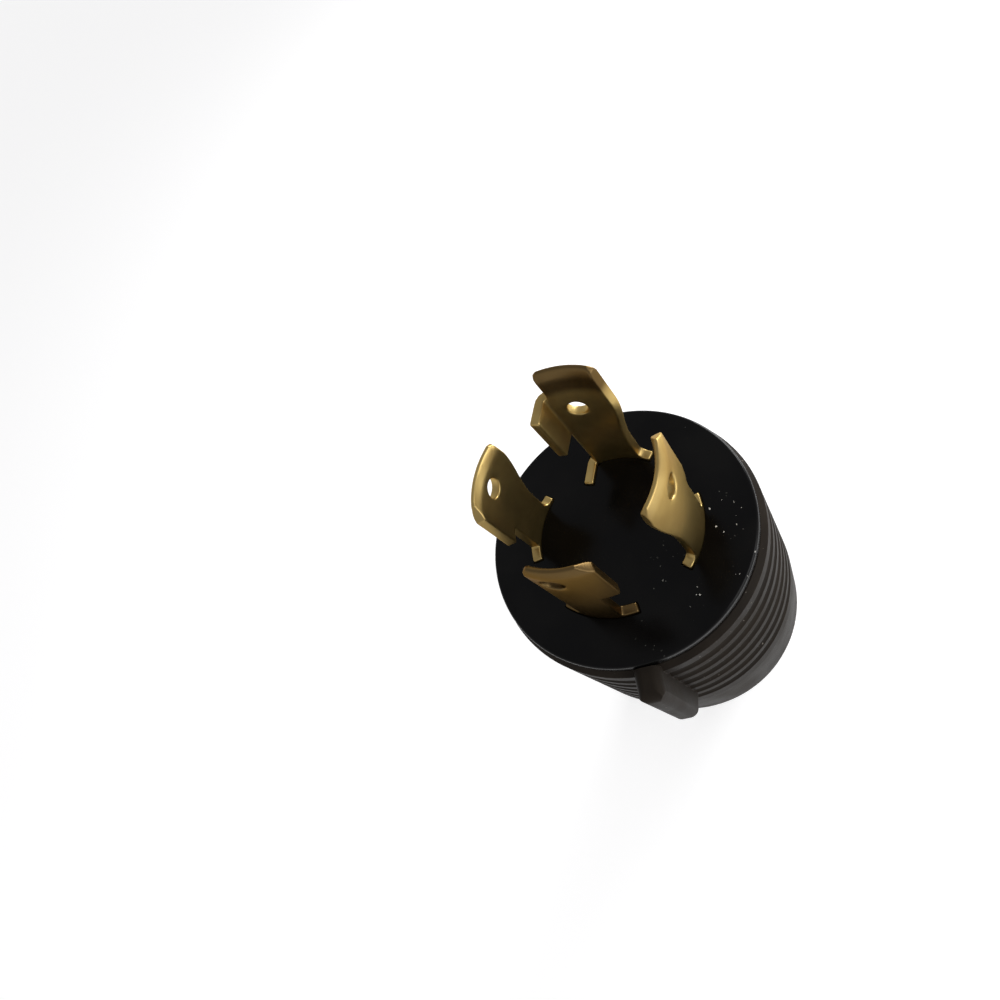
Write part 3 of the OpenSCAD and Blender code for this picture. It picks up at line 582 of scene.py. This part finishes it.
def rim_faces(rows, columns, first):
    """Four-sided faces between neighbouring rows of a rim that closes on itself."""
    here = np.arange(rows)[:, None] * columns + np.arange(columns - 1)[None, :] + first
    after = np.roll(here, -1, axis=0)
    return np.stack([here, after, after + 1, here + 1], axis=-1).reshape(-1, 4).tolist()


def face_net(blank, outline, hole_rims, holes):
    """Triangles that fill the flat face, whose outline lies inside the blank's, round its
    holes: an even grid of points, 0.55 along and 0.9 up, joined with the rims. Returns
    the grid and the triangles, which count the rims' points first and then the grid's."""
    edges = np.vstack([outline, *hole_rims])
    low, high = blank.min(0), blank.max(0)
    grid = np.stack(np.meshgrid(np.arange(low[0], high[0], 0.55),
                                np.arange(low[1], high[1], 0.9)), axis=-1).reshape(-1, 2)
    clear = np.linalg.norm(grid[:, None] - edges[None], axis=2).min(1) > 0.3
    grid = grid[encloses(outline, grid) & clear & outside_holes(grid, holes, 1.0)]
    net = np.vstack([edges, grid])

    sides, first = [], 0
    for loop in (outline, *hole_rims):
        run = np.arange(len(loop)) + first
        sides += np.stack([run, np.roll(run, -1)], axis=1).tolist()
        first += len(run)
    _, _, cells, source, _, _ = delaunay_2d_cdt([Vector(p) for p in net.tolist()], sides,
                                                [], 0, 1e-6)
    cells = np.array([ids[0] for ids in source])[np.array(cells)]
    middle = net[cells].mean(1)
    return grid, cells[encloses(outline, middle) & outside_holes(middle, holes, 0.9995)]


def outside_holes(points, holes, share):
    """True where a point is further from every hole than this share of its rim's reach."""
    away = [np.linalg.norm(points - hole[:2], axis=1) > share * (hole[2] + EDGE)
            for hole in holes]
    return np.all(away, axis=0)


def make_blade(name, corners, tip, holes, direction, bent=False):
    """A blade from its blank: the rims of its outline and holes, and both of its faces,
    rolled into shape, turned to its direction in degrees and set on the face."""
    outline = even(soft_corners(corners))
    ring = np.linspace(0, 2 * np.pi, 40, endpoint=False)
    circle = np.stack([np.cos(ring), np.sin(ring)], axis=1)
    paths = [(outline, into(outline))]
    paths += [(np.array(hole[:2]) + hole[2] * circle, circle) for hole in holes]

    points, faces, loops, lower, upper, count = [], [], [], [], [], 0
    for path, inner in paths:
        flat, out = rim(path, inner, tip)
        rows, columns = out.shape
        points.append(rolled(flat, out, bent).reshape(-1, 3))
        faces += rim_faces(rows, columns, count)
        loops.append(flat[:, 0])
        lower.append(count + np.arange(rows) * columns)
        upper.append(lower[-1] + columns - 1)
        count += rows * columns

    grid, cells = face_net(outline, loops[0], loops[1:], holes)
    for sign, ends in ((-1.0, lower), (1.0, upper)):
        ids = np.concatenate([*ends, count + np.arange(len(grid))])
        points.append(rolled(grid, sign * strip_half(grid[:, 1], tip), bent))
        faces += ids[cells].tolist()
        count += len(grid)

    turn = np.radians(direction)
    place = np.vstack(points) @ np.array([[np.cos(turn), np.sin(turn), 0],
                                          [-np.sin(turn), np.cos(turn), 0], [0, 0, 1]])
    return solid(name, place * MM + np.array([0, 0, FACE_Z]), faces)


def solid(name, points, faces):
    """A smooth closed mesh with its faces turned outwards."""
    mesh = bpy.data.meshes.new(name)
    mesh.from_pydata(points.tolist(), [], faces)
    work = bmesh.new()
    work.from_mesh(mesh)
    bmesh.ops.recalc_face_normals(work, faces=work.faces)
    work.to_mesh(mesh)
    work.free()
    mesh.shade_smooth()
    made = bpy.data.objects.new(name, mesh)
    bpy.context.scene.collection.objects.link(made)
    return made


def fit_piece(piece, slot, *nodes):
    """Gives a piece its finish and body, and hides the nodes that it stands for."""
    piece.data.materials.append(FINISH[slot])
    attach(piece, "root")
    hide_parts(*nodes)


POWER_HOLES = [(0.0, HOLE_UP, HOLE_R), TERMINAL_HOLE]
GROUND_HOLES = [(along(GROUND_HOLE_AT), HOLE_UP, HOLE_R), TERMINAL_HOLE]
fit_piece(make_blade("line_blade_x", power_blank(), TIP, POWER_HOLES, 0),
          "blades", "blade_line_x")
fit_piece(make_blade("line_blade_y", power_blank(), TIP, POWER_HOLES, 180),
          "blades", "blade_line_y")
fit_piece(make_blade("neutral_blade", power_blank(NEUTRAL_SIDE_CW, relieved=False), TIP,
                     POWER_HOLES, -90), "blades", "blade_neutral")
fit_piece(make_blade("ground_blade", ground_blank(), GROUND_TIP, GROUND_HOLES, 90, bent=True),
          "blades", "blade_ground")


# ---------------------------------------------------------------- studio

def floor_material():
    """Pale matt floor. For the camera, gloss and glass it also glows a little, so that
    it shows white where the light on it is full. The glow alone is darker than white,
    so the plug's shadow stays."""
    made, tree, shader, _ = new_material("pale floor")
    shader.inputs["Base Color"].default_value = (0.86, 0.86, 0.86, 1)
    shader.inputs["Roughness"].default_value = 0.9
    path = node(tree, "ShaderNodeLightPath")
    seen = maths(tree, "MAXIMUM", path.outputs["Is Camera Ray"],
                 maths(tree, "MAXIMUM", path.outputs["Is Glossy Ray"],
                       path.outputs["Is Transmission Ray"]))
    glow = node(tree, "ShaderNodeEmission", [("Color", (1, 1, 1, 1)), ("Strength", FLOOR_GLOW)])
    both = node(tree, "ShaderNodeAddShader", [(0, glow.outputs[0]),
                (1, shader.outputs[0])])
    mixed = node(tree, "ShaderNodeMixShader", [("Fac", seen), (1, shader.outputs[0]),
                 (2, both.outputs[0])])
    out = tree.nodes["Material Output"]
    tree.links.new(mixed.outputs[0], out.inputs["Surface"])
    return made


def make_floor():
    """A wide flat sheet under the plug's rear end, on which it stands."""
    half = 3.0
    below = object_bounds()[0][2] - FLOOR_GAP
    mesh = bpy.data.meshes.new("floor")
    mesh.from_pydata([(-half, -half, below), (half, -half, below), (half, half, below),
                      (-half, half, below)], [], [(0, 1, 2, 3)])
    floor = bpy.data.objects.new("floor", mesh)
    floor.data.materials.append(floor_material())
    bpy.context.scene.collection.objects.link(floor)


def make_world():
    """Soft light, pale at the horizon and dimmer overhead."""
    world = bpy.data.worlds.new("studio")
    bpy.context.scene.world = world
    world.use_nodes = True
    tree = world.node_tree
    tree.nodes.clear()
    way = node(tree, "ShaderNodeTexCoord").outputs["Generated"]
    height = node(tree, "ShaderNodeSeparateXYZ", [("Vector", way)]).outputs["Z"]
    rise = ramp(tree, height, 0.05, 0.75)
    colour = mix_colour(tree, rise, (0.80, 0.79, 0.775, 1), (0.50, 0.50, 0.51, 1))
    plain = node(tree, "ShaderNodeBackground", [("Color", colour), ("Strength", 1.0)])
    out = node(tree, "ShaderNodeOutputWorld")
    tree.links.new(plain.outputs[0], out.inputs["Surface"])


def soft_lamp(name, place, size, power):
    """A square lamp that points at the centre of the face."""
    aim = Vector((0, 0, FACE_Z))
    light = bpy.data.lights.new(name, "AREA")
    light.size, light.energy = size, power
    lamp = bpy.data.objects.new(name, light)
    lamp.location = aim + place
    lamp.rotation_mode = "QUATERNION"
    lamp.rotation_quaternion = (-place).to_track_quat("-Z", "Y")
    bpy.context.scene.collection.objects.link(lamp)


def make_camera():
    """A camera at its place from the face, turned to its line of sight."""
    data = bpy.data.cameras.new("camera")
    data.sensor_width, data.lens = SENSOR, FOCAL
    data.clip_start, data.clip_end = 0.005, 20.0
    camera = bpy.data.objects.new("camera", data)
    back = -SIGHT.normalized()
    right = PICTURE_UP.cross(back).normalized()
    up = back.cross(right)
    turn = Matrix((right, up, back)).transposed().to_4x4()
    camera.matrix_world = Matrix.Translation(Vector((0, 0, FACE_Z)) + CAMERA_FROM_FACE) @ turn
    bpy.context.scene.collection.objects.link(camera)
    bpy.context.scene.camera = camera


make_camera()
make_world()
make_floor()
soft_lamp("key", Vector((0.14, 0.44, 0.09)), 0.24, 2.0)
soft_lamp("fill", Vector((0.42, -0.02, 0.16)), 0.30, 0.9)
bpy.context.scene.view_settings.view_transform = "Standard"
